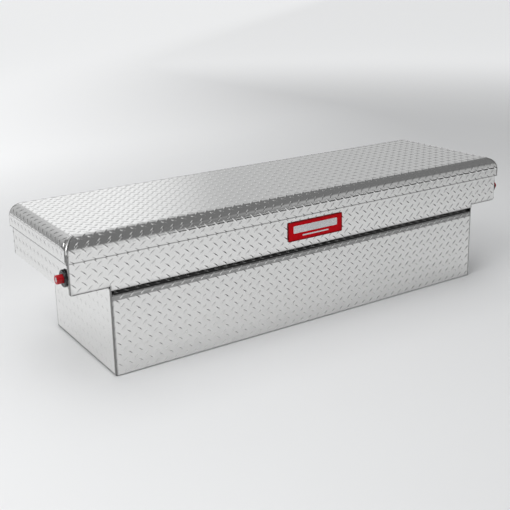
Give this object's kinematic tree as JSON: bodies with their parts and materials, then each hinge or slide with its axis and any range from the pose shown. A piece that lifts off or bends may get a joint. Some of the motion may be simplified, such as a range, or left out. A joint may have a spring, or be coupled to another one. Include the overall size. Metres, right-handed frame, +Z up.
{
  "type": "truck tool box",
  "caption": "Crossover truck tool box of diamond plate: deep tub, bed-rail wings, one hinged lid on gas struts, push-button locks and latches.",
  "frame": {"origin": "on the tub's underside, under the middle of the whole box", "axes": "+X along the box to its right end, -Y the front with the name plate, +Z up"},
  "size_m": [1.858, 0.514, 0.47],
  "materials": {
    "diamond_plate": "bright rolled diamond tread plate, bare",
    "plain_aluminium": "mill finish sheet",
    "steel": "satin stainless steel",
    "zinc_steel": "zinc plated steel, satin",
    "black_metal": "black coating, half gloss",
    "button_red": "red coating, gloss",
    "key_core_metal": "nickel plated",
    "name_plate_red": "red enamelled plate, no wording",
    "seal_rubber": "black bulb seal, matt"
  },
  "bodies": {
    "box": {"saddle_front_panel": "diamond_plate", "saddle_rear_panel": "diamond_plate", "tub_shell": "diamond_plate", "weather_seal": "seal_rubber", "hinge_body_leaf": "steel", "hinge_pin": "steel", "name_plate": "name_plate_red", "saddle_end_left": "diamond_plate", "wing_floor_left": "diamond_plate", "tub_end_left": "diamond_plate", "lock_bezel_left": "black_metal", "lock_housing_left": "zinc_steel", "lock_nut_left": "zinc_steel", "lock_spring_left": "steel", "latch_bracket_left": "zinc_steel", "latch_pivot_left": "steel", "latch_spring_left": "steel", "rod_guide_left": "zinc_steel", "strut_bracket_left": "zinc_steel", "saddle_end_right": "diamond_plate", "wing_floor_right": "diamond_plate", "tub_end_right": "diamond_plate", "lock_bezel_right": "black_metal", "lock_housing_right": "zinc_steel", "lock_nut_right": "zinc_steel", "lock_spring_right": "steel", "latch_bracket_right": "zinc_steel", "latch_pivot_right": "steel", "latch_spring_right": "steel", "rod_guide_right": "zinc_steel", "strut_bracket_right": "zinc_steel"},
    "lid": {"lid_skin": "diamond_plate", "lid_inner_pan": "plain_aluminium", "lid_stiffener_1": "plain_aluminium", "lid_stiffener_2": "plain_aluminium", "lid_stiffener_3": "plain_aluminium", "hinge_lid_leaf": "steel", "striker_left": "zinc_steel", "strut_lid_bracket_left": "zinc_steel", "striker_right": "zinc_steel", "strut_lid_bracket_right": "zinc_steel"},
    "release_rod": {"release_rod": "zinc_steel"},
    "strut_cylinder_left": {"strut_cylinder_left": "black_metal"},
    "strut_rod_left": {"strut_rod_left": "steel"},
    "lock_button_left": {"lock_button_left": "button_red"},
    "key_core_left": {"key_core_left": "key_core_metal"},
    "latch_hook_left": {"latch_hook_left": "zinc_steel"},
    "strut_cylinder_right": {"strut_cylinder_right": "black_metal"},
    "strut_rod_right": {"strut_rod_right": "steel"},
    "lock_button_right": {"lock_button_right": "button_red"},
    "key_core_right": {"key_core_right": "key_core_metal"},
    "latch_hook_right": {"latch_hook_right": "zinc_steel"}
  },
  "joints": [
    {"name": "lid_hinge", "type": "hinge", "parent": "box", "child": "lid", "pos_m": [0, 0.2523, 0.391], "axis": [-1, 0, 0], "range_deg": [0, 70]},
    {"name": "strut_swing_left", "type": "hinge", "parent": "box", "child": "strut_cylinder_left", "pos_m": [-0.864, 0.2103, 0.345], "axis": [-1, 0, 0], "range_deg": [0, 68]},
    {"name": "strut_slide_left", "type": "slide", "parent": "strut_cylinder_left", "child": "strut_rod_left", "axis": [0, -0.9518, 0.3067], "range_m": [0, 0.0706]},
    {"name": "button_press_left", "type": "slide", "parent": "box", "child": "lock_button_left", "axis": [1, 0, 0], "range_m": [0, 0.006], "stiffness_N_per_m": 400, "springref_m": -0.012, "deforming": ["lock_spring_left"]},
    {"name": "key_turn_left", "type": "hinge", "parent": "lock_button_left", "child": "key_core_left", "pos_m": [-0.92, -0.2185, 0.345], "axis": [-1, 0, 0], "range_deg": [0, 90]},
    {"name": "hook_turn_left", "type": "hinge", "parent": "box", "child": "latch_hook_left", "pos_m": [-0.858, -0.2185, 0.385], "axis": [0, -1, 0], "range_deg": [0, 10]},
    {"name": "strut_swing_right", "type": "hinge", "parent": "box", "child": "strut_cylinder_right", "pos_m": [0.864, 0.2103, 0.345], "axis": [-1, 0, 0], "range_deg": [0, 68]},
    {"name": "strut_slide_right", "type": "slide", "parent": "strut_cylinder_right", "child": "strut_rod_right", "axis": [0, -0.9518, 0.3067], "range_m": [0, 0.0706]},
    {"name": "button_press_right", "type": "slide", "parent": "box", "child": "lock_button_right", "axis": [-1, 0, 0], "range_m": [0, 0.006], "stiffness_N_per_m": 400, "springref_m": -0.012, "deforming": ["lock_spring_right"]},
    {"name": "key_turn_right", "type": "hinge", "parent": "lock_button_right", "child": "key_core_right", "pos_m": [0.92, -0.2185, 0.345], "axis": [1, 0, 0], "range_deg": [0, 90]},
    {"name": "hook_turn_right", "type": "hinge", "parent": "box", "child": "latch_hook_right", "pos_m": [0.858, -0.2185, 0.385], "axis": [0, 1, 0], "range_deg": [0, 10]},
    {"name": "rod_slide", "type": "slide", "parent": "box", "child": "release_rod", "axis": [-1, 0, 0], "range_m": [0, 0.0028]}
  ],
  "couplings": [
    {"joint": "strut_swing_left", "follows": "lid_hinge", "ratio": 0.97001},
    {"joint": "strut_slide_left", "follows": "lid_hinge", "m_per_rad": 0.057709},
    {"joint": "hook_turn_left", "follows": "button_press_left", "rad_per_m": 29.08},
    {"joint": "strut_swing_right", "follows": "lid_hinge", "ratio": 0.97001},
    {"joint": "strut_slide_right", "follows": "lid_hinge", "m_per_rad": 0.057709},
    {"joint": "hook_turn_right", "follows": "button_press_left", "rad_per_m": 29.08},
    {"joint": "rod_slide", "follows": "button_press_left", "ratio": 0.463}
  ]
}
